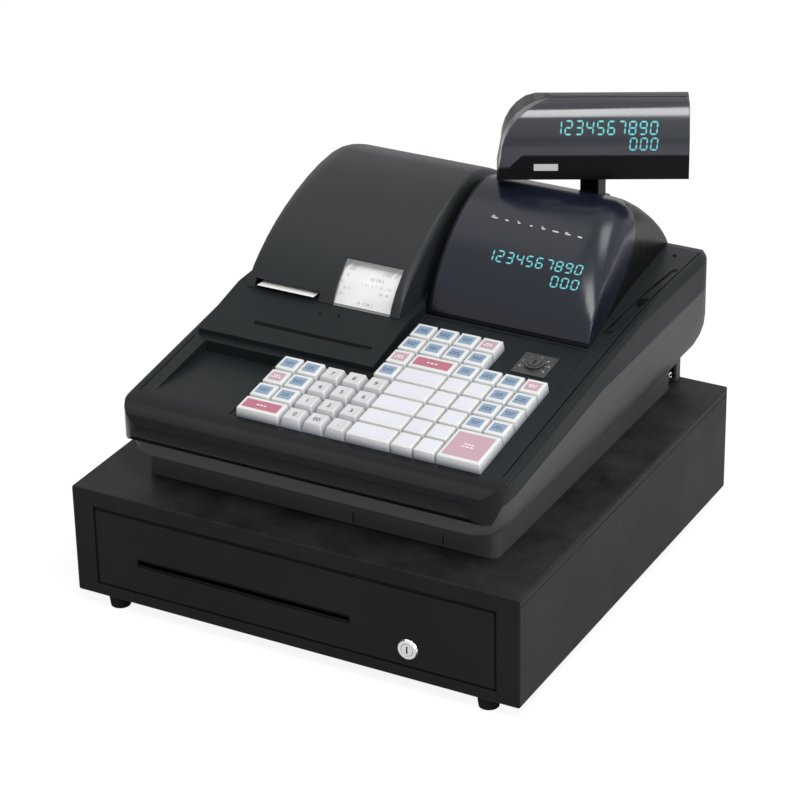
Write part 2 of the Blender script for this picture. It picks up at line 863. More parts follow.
def drawer_latch():
    pivot_y = drawer_depth / 2 - case_sheet - hook_reach
    pivot_z = foot_height + hook_height
    plunger_y = pivot_y - hook_reach / 2
    plate_x = latch_x + hook_thickness / 2 + running_gap + solenoid_size_x / 2
    coil_low = foot_height + solenoid_height
    coil = add_object("release_solenoid",
                      box((latch_x - solenoid_size_x / 2, plunger_y - solenoid_size_y / 2, coil_low),
                          (latch_x + solenoid_size_x / 2, plunger_y + solenoid_size_y / 2,
                           coil_low + solenoid_size_z)), dark_metal)
    plate_low = latch_floor()
    join(coil, box((latch_x + solenoid_size_x / 2 - bracket_thickness, plunger_y - solenoid_size_y / 2,
                    plate_low),
                   (latch_x + solenoid_size_x / 2, pivot_y + hook_reach / 2, coil_low + solenoid_size_z)))
    join(coil, box((latch_x + solenoid_size_x / 2 - bracket_thickness, plunger_y - solenoid_size_y / 2,
                    plate_low),
                   (latch_x + solenoid_size_x, pivot_y + hook_reach / 2, plate_low + bracket_thickness)))
    join(coil, rod((latch_x - hook_thickness, pivot_y, pivot_z),
                   (latch_x + solenoid_size_x / 2 - bracket_thickness / 2, pivot_y, pivot_z),
                   hook_pivot_radius, steps=small_steps))
    cut(coil, rod((latch_x, plunger_y, coil_low - overrun),
                  (latch_x, plunger_y, coil_low + solenoid_size_z - bracket_thickness),
                  plunger_radius + running_gap, steps=small_steps))

    hook_top = pivot_z + hook_pivot_radius + bracket_thickness
    plunger = add_object("solenoid_plunger",
                         rod((0.0, 0.0, 0.0), (0.0, 0.0, plunger_length), plunger_radius, steps=small_steps),
                         zinc_steel, place=(latch_x, plunger_y, hook_top + running_gap))
    smooth(plunger)

    # The hook hangs on its pin and its tip ends over the striker of the drawer.
    half_arm = hook_pivot_radius + bracket_thickness
    outline = [(half_arm, half_arm), (-hook_reach - half_arm, half_arm),
               (-hook_reach - half_arm, -half_arm * 2), (-hook_reach, -half_arm * 2),
               (-hook_reach + half_arm / 2, -half_arm), (half_arm, -half_arm)]
    hook = add_object("latch_hook", side_plate(outline, -hook_thickness / 2, hook_thickness / 2),
                      zinc_steel, place=(latch_x, pivot_y, pivot_z))
    cut(hook, rod((-hook_thickness, 0.0, 0.0), (hook_thickness, 0.0, 0.0), hook_pivot_radius + running_gap,
                  steps=small_steps))


# Lower half of the register's housing

def belly_rings(inset, floor, top):
    """Plan outlines from the plinth up over the quarter-round belly to the parting line."""
    height_span = waist_height - plinth_height
    steps = len(belly_lip_shares) - 1
    levels = [(floor, 0.0, 0.0)]
    for step in range(steps + 1):
        angle = math.radians(90.0 * step / steps)
        levels.append((drawer_top + plinth_height + height_span * (1 - math.cos(angle)),
                       math.sin(angle), belly_lip_shares[step]))
    levels.append((top, 1.0, 1.0))
    rings = []
    for z, share, lip_share in levels:
        half = plinth_half_width + (waist_half_width - plinth_half_width) * share - inset
        front = plinth_front + (lip_front - plinth_front) * lip_share + inset
        rear = plinth_rear + (lower_rear - plinth_rear) * share - inset
        front_radius = plinth_corner_radius + (corner_radius_front - plinth_corner_radius) * lip_share
        rear_radius = plinth_corner_radius + (corner_radius_rear - plinth_corner_radius) * share
        plan = rounded_plan(half, front, rear, front_radius - inset, front_radius - inset,
                            rear_radius - inset)
        rings.append([(x + register_shift, y, z) for x, y in plan])
    return rings


def lower_case():
    top = drawer_top + deck_crease_height + waist_height / 2
    floor = drawer_top + running_gap
    case = add_object("lower_case", loft(belly_rings(0.0, floor, top)), base_plastic)
    hollow = belly_rings(housing_wall, floor + housing_wall, top + overrun)
    cut(case, loft(hollow))
    above = seam_line(seam_gap)
    high = top + 2 * overrun
    cut(case, side_plate(above + [(above[-1][0], high), (above[0][0], high)],
                         register_shift - waist_half_width - overrun,
                         register_shift + waist_half_width + overrun))
    port_rear = plinth_rear - port_inset
    side = register_shift + plinth_half_width
    cut(case, box((side - housing_wall * 2, port_rear - port_width, floor - overrun),
                  (side + overrun, port_rear, floor + port_height)))
    smooth(case)


# Upper half of the register's housing

def deck_stations():
    """Depths at which the deck's side line has its points, from its bend to its level rear."""
    return [deck_bend_y + (deck_rear_y - deck_bend_y) * step / bend_step_count
            for step in range(bend_step_count + 1)]


def deck_chain():
    """The outside of the upper half as (y, z) points, from the lip over the nose to the back."""
    crease = (deck_crease_y, deck_z(deck_crease_y))
    lip = (lip_front, drawer_top + seam_front_height)
    tip = (nose_front, drawer_top + nose_height)
    low_run = (tip[0] - lip[0]) * lip_pull_share
    chain = bezier(lip, (lip[0] + low_run, lip[1]), (tip[0], (tip[1] + lip[1]) / 2), tip, 4)
    rise = crease[1] - tip[1]
    run = (crease[0] - tip[0]) / 2
    chain += bezier(tip, (tip[0], tip[1] + rise * nose_pull_share),
                    (crease[0] - run, crease[1] - run * deck_slope_share), crease, 6)[1:]
    chain += [(y, deck_z(y)) for y in deck_stations()]
    level = drawer_top + deck_rear_height
    middle = (lower_rear - rear_round, level - rear_round)
    for step in range(5):
        angle = math.radians(90.0 - 22.5 * step)
        chain.append((middle[0] + rear_round * math.cos(angle), middle[1] + rear_round * math.sin(angle)))
    chain.append((lower_rear, drawer_top + seam_rear_height))
    return chain


def shouldered_block(name, chain, bottom, half_width, shoulder, look=None):
    """A side outline extruded across the register, with its upper side edges rounded."""
    block = side_plate(chain + bottom, register_shift - half_width, register_shift + half_width)
    lowest = min(z for y, z in chain)
    rounded = [edge for edge in block.edges
               if abs(edge.verts[0].co.x - edge.verts[1].co.x) < running_gap
               and min(vert.co.z for vert in edge.verts) > lowest + running_gap
               and edge_on_chain(edge, chain)]
    bmesh.ops.bevel(block, geom=rounded, offset=shoulder, segments=4, profile=0.5,
                    affect='EDGES', clamp_overlap=True)
    return add_object(name, block, look)


def edge_on_chain(edge, chain):
    return all(min(math.dist((vert.co.y, vert.co.z), point) for point in chain) < running_gap / 2
               for vert in edge.verts)


def plan_limit(inset):
    """The register's plan as a solid, with a round upper edge at the deck's rear level."""
    top = drawer_top + deck_rear_height + seam_gap - inset
    levels = [(drawer_top + plinth_height, 0.0)]
    for angle_deg in (0, 22.5, 45, 67.5, 85):
        angle = math.radians(angle_deg)
        levels.append((top - rear_edge_radius * (1 - math.sin(angle)),
                       rear_edge_radius * (1 - math.cos(angle))))
    rings = []
    for z, pull in levels:
        back = inset + pull
        plan = rounded_plan(waist_half_width - back, nose_front + back, lower_rear - back,
                            corner_radius_front - back, corner_radius_front + lip_front - nose_front - back,
                            corner_radius_rear - back)
        rings.append([(x + register_shift, y, z) for x, y in plan])
    return loft(rings)


def deck_channel():
    """A slanting channel in the deck beside the operator display."""
    run = Vector(channel_end) - Vector(channel_start)
    steps = 6
    ys = [channel_start[1] + run.y * step / steps for step in range(steps + 1)]
    line = [(y, deck_z(y) + overrun) for y in ys] + [(y, deck_z(y) - groove_depth) for y in reversed(ys)]
    channel = side_plate(line, -channel_width / 2, channel_width / 2)
    for vert in channel.verts:
        vert.co.x += channel_start[0] + run.x * (vert.co.y - channel_start[1]) / run.y
    return channel


def platform_plate(rear, right):
    """The raised platform's plate, from its front edge back to a given depth."""
    ys = [y for y in (platform_front, platform_top_y, deck_rear_y) if y < rear] + [rear]
    top = [(y, platform_z(y)) for y in ys]
    under = [(y, deck_z(y) - housing_wall * platform_root_share) for y in reversed(ys)]
    return side_plate(top + under, platform_left, right)


def bay_outline():
    """Inside edges of the printer bay: left, right, front and rear."""
    return (cover_left + bay_margin, cover_right - bay_margin,
            cover_front + bay_front_margin, cover_rear + bay_rear_margin)


def bed_plan(grow):
    """The stepped plan outline of the key panel, anticlockwise from its front left corner."""
    left = register_shift + key_first_x - key_pitch_x / 2 - bed_margin - grow
    middle = platform_right + bed_margin / 2 - grow
    right = register_shift + key_first_x + (key_column_count - 1 / 2) * key_pitch_x + bed_margin + grow
    front = deck_crease_y + running_gap * 4 - grow
    step_y = bed_step_y + grow
    rear = key_first_y + key_pitch_y / 2 + bed_lock_margin + grow
    return [(left, front), (right, front), (right, rear), (middle, rear), (middle, step_y), (left, step_y)]


def upper_case():
    chain = deck_chain()
    seam = seam_line()
    case = shouldered_block("upper_case", chain, [seam[3], seam[2]], waist_half_width, shoulder_radius,
                            housing_plastic)
    keep(case, plan_limit(0.0))

    # Inside, open towards the lower half
    inner = inset_chain(chain, housing_wall)
    low = drawer_top + plinth_height + overrun
    hollow = shouldered_block("upper_case_hollow", inner, [(inner[-1][0], low), (inner[0][0], low)],
                              waist_half_width - housing_wall, shoulder_radius - housing_wall)
    keep(hollow, plan_limit(housing_wall))
    combine(case, hollow, 'DIFFERENCE')

    # Pen tray: a tub joined under the deck, then sunk
    floor_z = deck_z(pen_tray_rear) - pen_tray_drop
    tub = [(pen_tray_front - housing_wall, deck_z(pen_tray_front) - housing_wall / 2),
           (pen_tray_front - housing_wall, floor_z - housing_wall),
           (pen_tray_rear + housing_wall, floor_z - housing_wall),
           (pen_tray_rear + housing_wall, deck_z(pen_tray_rear) - housing_wall / 2)]
    join(case, side_plate(tub, pen_tray_left - housing_wall, pen_tray_right + housing_wall))

    # Printer platform
    join(case, platform_plate(cover_rear + 2 * bay_rear_margin, hood_left - running_gap))
    join(case, platform_plate(hood_front - seam_gap, platform_right))
    bay_left, bay_right, bay_front, bay_rear = bay_outline()
    high = drawer_top + deck_rear_height + overrun * 2
    cut(case, box((bay_left, bay_front, low), (bay_right, bay_rear, high)))
    sweep_front = hinge_place()[0] - hinge_sweep
    cut(case, box((cover_left - seam_gap, sweep_front, low), (cover_right + seam_gap, bay_rear, high)))
    slot_angle = math.atan2(platform_z(platform_top_y) - platform_z(platform_front),
                            platform_top_y - platform_front)
    slot = box((-slip_slot_length / 2, -slip_slot_width / 2, -slip_slot_depth),
               (slip_slot_length / 2, slip_slot_width / 2, overrun), slip_slot_width / 4)
    slot_place = Matrix.Translation((slip_slot_x, slip_slot_y, platform_z(slip_slot_y)))
    bmesh.ops.transform(slot, matrix=slot_place @ Matrix.Rotation(slot_angle, 4, 'X'), verts=slot.verts)
    cut(case, slot)

    tray = [(pen_tray_front, deck_z(pen_tray_front) + overrun), (pen_tray_front, deck_z(pen_tray_front)),
            (pen_tray_rear, floor_z), (pen_tray_rear, deck_z(pen_tray_rear) + overrun)]
    cut(case, side_plate(tray, pen_tray_left, pen_tray_right))

    cut(case, floor_plate(bed_plan(seam_gap), low, drawer_top + deck_rear_height + overrun))
    groove_ends = ((-1, platform_front - bed_margin), (1, lower_rear - rear_round))
    for side, end_y in groove_ends:
        middle = register_shift + side * deck_half_width
        ys = [deck_crease_y + overrun, deck_bend_y, (deck_bend_y + deck_rear_y) / 2, deck_rear_y, end_y]
        ys = [y for y in ys if y <= end_y]
        line = [(y, deck_z(y) + overrun) for y in ys] + [(y, deck_z(y) - groove_depth) for y in reversed(ys)]
        cut(case, side_plate(line, middle - groove_width / 2, middle + groove_width / 2))
    cut(case, deck_channel())
    hole = socket_gap + socket_wall + running_gap
    cut(case, box((post_x - post_width / 2 - hole, post_y - post_depth / 2 - hole,
                   drawer_top + seam_rear_height),
                  (post_x + post_width / 2 + hole, post_y + post_depth / 2 + hole,
                   drawer_top + deck_rear_height + overrun)))
    smooth(case)


# Humped covers: the printer cover and the operator display's hood

def hump_rings(left, right, left_run, right_run, drop_share, curve, base, inset=0.0, sink=0.0,
               narrowing=0.0):
    """Side sections across a humped cover, lowered towards its two ends like a round edge.

    The right side may turn inwards towards the rear.
    """
    left += inset
    right -= inset
    top = inset_chain(curve, inset) if inset else list(curve)
    top[0] = (top[0][0], curve[0][1])
    top[-1] = (top[-1][0], curve[-1][1])
    low = [(y, z - sink) for y, z in reversed(base[1:-1])]
    if sink > 0:
        low = [(top[-1][0], base[-1][1] - sink)] + low + [(top[0][0], base[0][1] - sink)]
    stations = []
    for edge, run, side in ((left, left_run, 1), (right, right_run, -1)):
        ends = [(edge + side * run * (1 - math.cos(math.radians(a))), math.sin(math.radians(a)))
                for a in (0, 15, 30, 50, 70, 90)]
        stations += ends if side > 0 else reversed(ends)
    rings = []
    for x, rounding in stations:
        share = 1 - drop_share * (1 - rounding)
        ring = []
        for y, z in top:
            along = (y - top[0][0]) / (top[-1][0] - top[0][0])
            foot = base[0][1] + (base[-1][1] - base[0][1]) * along
            ring.append((x, y, foot + (z - foot) * share))
        ring += [(x, y, z) for y, z in low]
        across = (x - left) / (right - left)
        rings.append([(px - across * narrowing * (py - base[0][0]), py, pz) for px, py, pz in ring])
    return rings


def hump_curve(front, ridge, rear, front_shares, rear_shares):
    """The side line of a humped cover: up from its front edge to the ridge and down its back."""
    run, rise = ridge[0] - front[0], ridge[1] - front[1]
    back_run, fall = rear[0] - ridge[0], ridge[1] - rear[1]
    start_run, start_rise, end_run, end_drop = front_shares
    ridge_run, foot_run, foot_rise = rear_shares
    up = bezier(front, (front[0] + run * start_run, front[1] + rise * start_rise),
                (front[0] + run * end_run, ridge[1] - rise * end_drop), ridge)
    down = bezier(ridge, (ridge[0] + back_run * ridge_run, ridge[1]),
                  (rear[0] - back_run * foot_run, rear[1] + fall * foot_rise), rear)
    return up + down[1:]


def cover_curve():
    front = (cover_front, platform_z(cover_front) + running_gap)
    rear = (cover_rear, platform_z(cover_rear) + running_gap)
    ridge = (cover_ridge_y, drawer_top + cover_ridge_height)
    return hump_curve(front, ridge, rear, cover_front_pull_shares, cover_rear_pull_shares)


def cover_base():
    return [(y, platform_z(y) + running_gap) for y in (cover_front, platform_top_y, deck_rear_y, cover_rear)]


def cover_loft(inset=0.0, sink=0.0):
    return loft(hump_rings(cover_left, cover_right, cover_edge_run, cover_edge_run / 3,
                           cover_edge_drop_share, cover_curve(), cover_base(), inset, sink))


def window_block(grow):
    low = drawer_top + deck_crease_height
    high = drawer_top + cover_ridge_height
    return box((window_left - grow, cover_front - overrun, low),
               (window_right + grow, window_rear + grow, high))


def hinge_place():
    return (cover_rear - hinge_inset, platform_z(cover_rear) + hinge_rise)


def printer_cover():
    pin_y, pin_z = hinge_place()
    place = (0.0, pin_y, pin_z)
    back = Matrix.Translation((0.0, -pin_y, -pin_z))

    def moved(mesh_data):
        bmesh.ops.transform(mesh_data, matrix=back, verts=mesh_data.verts)
        return mesh_data

    cover = add_object("printer_cover", moved(cover_loft()), housing_plastic, place=place)
    cut(cover, moved(cover_loft(cover_wall, overrun)))
    left, right = chassis_sides()
    join(cover, moved(merged(
        rod((cover_left + cover_wall / 2, pin_y, pin_z), (left + chassis_wall * 2, pin_y, pin_z),
            hinge_pin_radius, steps=small_steps),
        rod((right - chassis_wall * 2, pin_y, pin_z), (cover_right - cover_wall / 2, pin_y, pin_z),
            hinge_pin_radius, steps=small_steps))))
    cut(cover, moved(window_block(0.0)))
    notch_low = platform_z(cover_front) - overrun
    notch_high = paper_slot_z() + receipt_slot_height
    cut(cover, moved(box((receipt_slot_left, cover_front - overrun, notch_low),
                         (receipt_slot_right, cover_front + overrun * 2, notch_high))))
    smooth(cover)

    pane = add_object("journal_window", moved(window_block(-running_gap)), smoked_lens, place=place)
    keep(pane, moved(cover_loft(running_gap)))
    cut(pane, moved(cover_loft(running_gap + window_pane, overrun)))
    smooth(pane)


# Printer mechanism

def chassis_sides():
    left, right = bay_outline()[:2]
    return left + chassis_gap, right - chassis_gap


def roll_lanes():
    """Middles of the receipt's and the journal's paper lanes."""
    receipt = (receipt_slot_left + receipt_slot_right) / 2
    journal = (window_left + window_right) / 2
    return receipt, journal


def paper_slot_z():
    """Height at which the receipt leaves the cover."""
    return platform_z(cover_front) + receipt_slot_rise


def printer_chassis():
    left, right = chassis_sides()
    pin_y, pin_z = hinge_place()
    bottom = drawer_top + housing_wall + 2 * running_gap
    ear = hinge_pin_radius + chassis_wall * ear_share
    spool_z = drawer_top + spool_height
    platen_z = paper_slot_z() - platen_drop
    spindle_z = drawer_top + roll_height
    high = drawer_top + cover_ridge_height
    rear = pin_y - hinge_sweep * hinge_neck_share
    spool_top = [(spool_y - spool_pin_radius * 3, spool_z + spool_pin_radius * 2),
                 (spool_y + spool_pin_radius * 3, spool_z + spool_pin_radius * 2)]
    top_line = ([(chassis_front, platform_z(cover_front) - chassis_wall),
                 (platen_y, platen_z + platen_pin_radius * 2)] + spool_top
                + [(roll_y, spindle_z + spindle_radius * 2), (pin_y - ear, pin_z + ear),
                   (pin_y + ear / 2, pin_z + ear), (pin_y + ear, pin_z + ear / 2),
                   (pin_y + ear, pin_z - ear / 2), (pin_y + ear / 2, pin_z - ear),
                   (rear, pin_z - ear)])
    foot_z = drawer_top + chassis_foot_height
    bend_z = foot_z + rear - chassis_foot_rear
    outline = top_line + [(rear, bend_z), (chassis_foot_rear, foot_z), (chassis_foot_rear, bottom),
                          (chassis_front, bottom)]
    chassis = add_object("printer_chassis", side_plate(outline, left, right), dark_metal)
    floor = drawer_top + chassis_floor_height
    cut(chassis, box((left + chassis_wall, chassis_front + chassis_wall, floor),
                     (right - chassis_wall, rear - chassis_wall, high)))
    cut(chassis, box((left + chassis_wall, chassis_front - overrun, spindle_z - roll_radius / 2),
                     (right - chassis_wall, pin_y + ear + overrun, high)))
    foot_inner = chassis_foot_rear - chassis_wall
    under_front, under_rear = chassis_front + chassis_wall, rear - chassis_wall
    under_top = floor - chassis_wall
    under = [(under_front, bottom - overrun), (under_front, under_top), (under_rear, under_top),
             (under_rear, bend_z), (foot_inner, foot_z), (foot_inner, bottom - overrun)]
    cut(chassis, side_plate(under, left + chassis_wall, right - chassis_wall))
    receipt, journal = roll_lanes()
    middle = (receipt + journal) / 2
    divider_front = platen_y + platen_radius * 2
    divider = ([(divider_front, platen_z)] + spool_top
               + [(roll_y, spindle_z + spindle_radius * 2), (roll_y + roll_radius / 2, spindle_z),
                  (roll_y + roll_radius / 2, floor - chassis_wall / 2),
                  (divider_front, floor - chassis_wall / 2)])
    join(chassis, side_plate(divider, middle - chassis_wall / 2, middle + chassis_wall / 2))
    join(chassis, rod((left + chassis_wall / 2, roll_y, spindle_z),
                      (right - chassis_wall / 2, roll_y, spindle_z), spindle_radius, steps=small_steps))
    cut(chassis, rod((left - overrun, platen_y, platen_z), (right + overrun, platen_y, platen_z),
                     platen_pin_radius + running_gap, steps=small_steps))
    cut(chassis, rod((middle - overrun, spool_y, spool_z), (right + overrun, spool_y, spool_z),
                     spool_pin_radius + running_gap, steps=small_steps))
    cut(chassis, rod((left - overrun, pin_y, pin_z), (right + overrun, pin_y, pin_z),
                     hinge_pin_radius + running_gap, steps=small_steps))


def printer_rolls():
    left, right = chassis_sides()
    platen_z = paper_slot_z() - platen_drop
    inner_left = left + chassis_wall + running_gap * 3
    inner_right = right - chassis_wall - running_gap * 3
    platen = add_object("platen_roller", rod((inner_left, 0.0, 0.0), (inner_right, 0.0, 0.0), platen_radius),
                        roller_rubber, place=(0.0, platen_y, platen_z))
    join(platen, rod((left, 0.0, 0.0), (right, 0.0, 0.0), platen_pin_radius, steps=small_steps))
    smooth(platen)

    lanes = roll_lanes()
    for name, lane in (("receipt_roll", lanes[0]), ("journal_roll", lanes[1])):
        roll = add_object(name, rod((-roll_width / 2, 0.0, 0.0), (roll_width / 2, 0.0, 0.0), roll_radius),
                          paper_white, place=(lane, roll_y, drawer_top + roll_height))
        cut(roll, rod((-roll_width, 0.0, 0.0), (roll_width, 0.0, 0.0), spindle_radius + running_gap,
                      steps=small_steps))
        smooth(roll)

    middle = sum(lanes) / 2
    half = paper_width / 2 + running_gap
    spool = add_object("take_up_spool", rod((-half, 0.0, 0.0), (half, 0.0, 0.0), spool_core_radius,
                                            steps=small_steps),
                       tray_plastic, place=(lanes[1], spool_y, drawer_top + spool_height))
    join(spool, merged(
        rod((-half - spool_flange_width, 0.0, 0.0), (-half, 0.0, 0.0), spool_flange_radius),
        rod((half, 0.0, 0.0), (half + spool_flange_width, 0.0, 0.0), spool_flange_radius)))
    join(spool, rod((middle - chassis_wall / 2 - lanes[1], 0.0, 0.0), (right - lanes[1], 0.0, 0.0),
                    spool_pin_radius, steps=small_steps))
    smooth(spool)


def paper_strips():
    lanes = roll_lanes()
    slot_z = paper_slot_z()
    nip_y = platen_y - math.sqrt(platen_radius ** 2 - platen_drop ** 2) - running_gap
    receipt_line = [(cover_front - overrun, slot_z), (nip_y, slot_z)]
    outline = receipt_line + list(reversed(inset_chain(receipt_line, -paper_thickness)))
    add_object("receipt_strip", side_plate(outline, lanes[0] - paper_width / 2, lanes[0] + paper_width / 2),
               paper_white)

    depth = cover_wall + 2 * paper_thickness
    under = [point for point in inset_chain(cover_curve(), depth)
             if point[0] < window_rear + overrun and point[1] > platform_z(point[0])]
    spool_top = (spool_y - spool_core_radius * 3 / 2,
                 drawer_top + spool_height + spool_core_radius + paper_thickness)
    line = under + [spool_top, (spool_y, spool_top[1])]
    outline = line + list(reversed(inset_chain(line, paper_thickness)))
    add_object("journal_strip", side_plate(outline, lanes[1] - paper_width / 2, lanes[1] + paper_width / 2),
               paper_white)


# Operator display

def hood_curve():
    front = (hood_front, deck_z(hood_front) + running_gap)
    rear = (hood_rear, deck_z(hood_rear) + running_gap)
    ridge = (hood_ridge_y, drawer_top + hood_ridge_height)
    return hump_curve(front, ridge, rear, hood_front_pull_shares, hood_rear_pull_shares)


def hood_loft(inset=0.0, sink=0.0):
    base = [(y, deck_z(y) + running_gap) for y in [hood_front] + deck_stations() + [hood_rear]]
    return loft(hump_rings(hood_left, hood_right, hood_edge_run / 8, hood_edge_run,
                           hood_edge_drop_share, hood_curve(), base, inset, sink, hood_narrowing))


def lens_region(grow):
    """The space in front of the hood's parting line, which the smoked lens fills."""
    base_z = deck_z(hood_front) + running_gap + lens_bottom_margin
    high = drawer_top + hood_ridge_height + 2 * overrun
    front = hood_front - 2 * overrun
    side = [(y, drawer_top + height) for y, height in lens_side]
    line = ([(front, base_z), (lens_foot_y, base_z)] + side[::-1]
            + [(lens_top_y, side[0][1]), (lens_top_y, high)])
    line = inset_chain(line, grow)
    return side_plate(line + [(front, high)], hood_left + lens_left_margin - grow, hood_right + overrun)


def operator_display():
    hood = add_object("display_hood", hood_loft(), housing_plastic)
    seat = add_object("display_hood_seat", hood_loft(-overrun / 4, overrun / 4))
    keep(seat, lens_region(running_gap))
    cut(seat, hood_loft(lens_wall + running_gap, overrun))
    cut(hood, hood_loft(hood_wall + lens_wall + running_gap, overrun))
    combine(hood, seat, 'DIFFERENCE')

    # Opening behind the lens for the display tube
    left = hood_left + lens_left_margin
    middle = (left + hood_right) / 2 - hood_edge_run / 4
    tube_y, tube_z, tube_tilt = module_place()
    tube = box((-module_width / 2, -module_height / 2, -module_depth),
               (module_width / 2, module_height / 2, 0.0))
    place = Matrix.Translation((middle, tube_y, tube_z)) @ Matrix.Rotation(tube_tilt, 4, 'X')
    grow = running_gap
    opening = box((-module_width / 2 - grow, -module_height / 2 - grow, -module_depth * 3),
                  (module_width / 2 + grow, module_height / 2 + grow, lens_wall * 4))
    bmesh.ops.transform(opening, matrix=place, verts=opening.verts)
    cut(hood, opening)
    add_object("display_module", tube, display_green, place=(middle, tube_y, tube_z),
               turn=(tube_tilt, 0.0, 0.0))

    # Square socket that guides the customer display's post
    inner_x = post_width / 2 + socket_gap
    inner_y = post_depth / 2 + socket_gap
    roof = line_height(hood_curve(), post_y)
    low = deck_z(post_y) - overrun
    join(hood, box((post_x - inner_x - socket_wall, post_y - inner_y - socket_wall, low),
                   (post_x + inner_x + socket_wall, post_y + inner_y + socket_wall, roof - hood_wall)))
    cut(hood, box((post_x - inner_x, post_y - inner_y, low - overrun),
                  (post_x + inner_x, post_y + inner_y, drawer_top + hood_ridge_height)))
    smooth(hood)

    lens = add_object("display_lens", hood_loft(), smoked_lens)
    keep(lens, lens_region(0.0))
    cut(lens, hood_loft(lens_wall, overrun))
    smooth(lens)


def module_place():
    curve = hood_curve()
    low, high = curve[curve_steps // 2 - 1], curve[curve_steps // 2 + 1]
    tilt = math.atan2(high[1] - low[1], high[0] - low[0])
    y = (low[0] + high[0]) / 2 + module_setback * math.sin(tilt)
    z = (low[1] + high[1]) / 2 - module_setback * math.cos(tilt)
    return y, z, tilt


# Customer display on its post

def head_outline(inset=0.0):
    radius = head_corner_radius - inset
    left = head_left + head_lean + inset
    top = head_height - inset
    points = [(left - head_lean, inset), (head_right - inset, inset), (head_right - inset, top - head_edge),
              (head_right - inset - head_edge, top)]
    for step in range(curve_steps - 1):
        angle = math.radians(90.0 + 90.0 * step / (curve_steps - 2))
        points.append((left + radius + radius * math.cos(angle), top - radius + radius * math.sin(angle)))
    return points


def head_profile(inset=0.0):
    front = head_front + inset
    rear = head_rear - inset
    top = head_height - inset
    points = [(rear, inset), (front, inset), (front, head_band)]
    rise_share, front_share = head_front_pull_shares
    rear_share, fall_share, end_share = head_rear_pull_shares
    points += bezier((front, head_band), (front, top * rise_share), (front * front_share, top),
                     (0.0, top), 7)[1:]
    points += bezier((0.0, top), (rear * rear_share, top), (rear, top * fall_share),
                     (rear, top * end_share), 4)[1:]
    return points


def head_solid(inset=0.0):
    """The customer display's outer form as a pair of crossed outlines."""
    return (front_plate(head_outline(inset), head_front - overrun, head_rear + overrun),
            side_plate(head_profile(inset), head_left - overrun, head_right + overrun))


def head_lens_region(grow):
    low = head_band - grow
    left_low = head_band / 2 - grow
    cut_in = head_left + head_band
    outline = [(head_right + overrun, low), (head_right + overrun, head_height + overrun),
               (head_left - overrun, head_height + overrun), (head_left - overrun, left_low),
               (cut_in - head_band / 2 + grow, left_low), (cut_in + grow, low)]
    return front_plate(outline, head_front - overrun, head_front + head_lens_depth + grow)


def customer_display():
    bottom = drawer_top + hood_ridge_height + head_gap
    place = (post_x, post_y, bottom)
    post = add_object("customer_post", box((-post_width / 2, -post_depth / 2, -post_length),
                                           (post_width / 2, post_depth / 2, -running_gap),
                                           case_edge_radius / 2), housing_plastic, place=place)
    join(post, rod((0.0, 0.0, -swivel_pin_radius), (0.0, 0.0, swivel_pin_length), swivel_pin_radius,
                   steps=small_steps))

    yaw = (0.0, 0.0, math.radians(head_yaw_deg))
    outer, across = head_solid()
    shell = add_object("customer_shell", outer, housing_plastic, place=place, turn=yaw)
    keep(shell, across)
    cut(shell, head_lens_region(running_gap))
    inner, inner_across = head_solid(housing_wall)
    hollow = add_object("customer_shell_hollow", inner, place=place, turn=yaw)
    keep(hollow, inner_across)
    keep(hollow, box((head_left, head_front + housing_wall * 2, swivel_pin_length + housing_wall * 2),
                     (head_right, head_rear, head_height)))
    combine(shell, hollow, 'DIFFERENCE')
    cut(shell, rod((0.0, 0.0, -overrun), (0.0, 0.0, swivel_pin_length + running_gap),
                   swivel_pin_radius + running_gap, steps=small_steps))
    smooth(shell)

    outer, across = head_solid()
    lens = add_object("customer_lens", outer, smoked_lens, place=place, turn=yaw)
    keep(lens, across)
    keep(lens, head_lens_region(0.0))
    inner, inner_across = head_solid(head_lens_wall)
    core = add_object("customer_lens_core", inner, place=place, turn=yaw)
    keep(core, inner_across)
    combine(lens, core, 'DIFFERENCE')
    smooth(lens)

    low = swivel_pin_length + housing_wall * 2 + running_gap
    add_object("customer_module", box((head_module_left, head_front + head_module_inset, low),
                                      (head_module_right, head_front + head_module_inset + module_depth,
                                       low + head_module_height)),
               display_green, place=place, turn=yaw)


# Keyboard

def deck_frame():
    """Puts x across, y up the slope and z square to the sloping deck."""
    return (Matrix.Translation((register_shift, 0.0, deck_z(0.0)))
            @ Matrix.Rotation(deck_angle, 4, 'X'))


def tilted(mesh_data):
    bmesh.ops.transform(mesh_data, matrix=deck_frame(), verts=mesh_data.verts)
    return mesh_data


def key_centre(column, row, columns=1, rows=1):
    """Middle of a key on the sloping deck; row 1 is at the rear and column 1 at the left."""
    x = key_first_x + (column - 1 + (columns - 1) / 2) * key_pitch_x
    y = key_first_y - (row - 1 + (rows - 1) / 2) * key_pitch_y
    return x, y


def key_cap(columns, rows, bottom, taper):
    """A cap of so many grid cells: narrower at its top, with small round edges there."""
    half_x = (columns * key_pitch_x - key_gap) / 2
    half_y = (rows * key_pitch_y - key_gap) / 2
    cap = box((-half_x, -half_y, bottom), (half_x, half_y, key_rise))
    for vert in cap.verts:
        if vert.co.z > 0.0:
            vert.co.x -= math.copysign(taper, vert.co.x)
            vert.co.y -= math.copysign(taper, vert.co.y)
    rounded = [edge for edge in cap.edges if max(vert.co.z for vert in edge.verts) > 0.0]
    bmesh.ops.bevel(cap, geom=rounded, offset=key_edge_radius, segments=2, profile=0.5, affect='EDGES')
    return cap


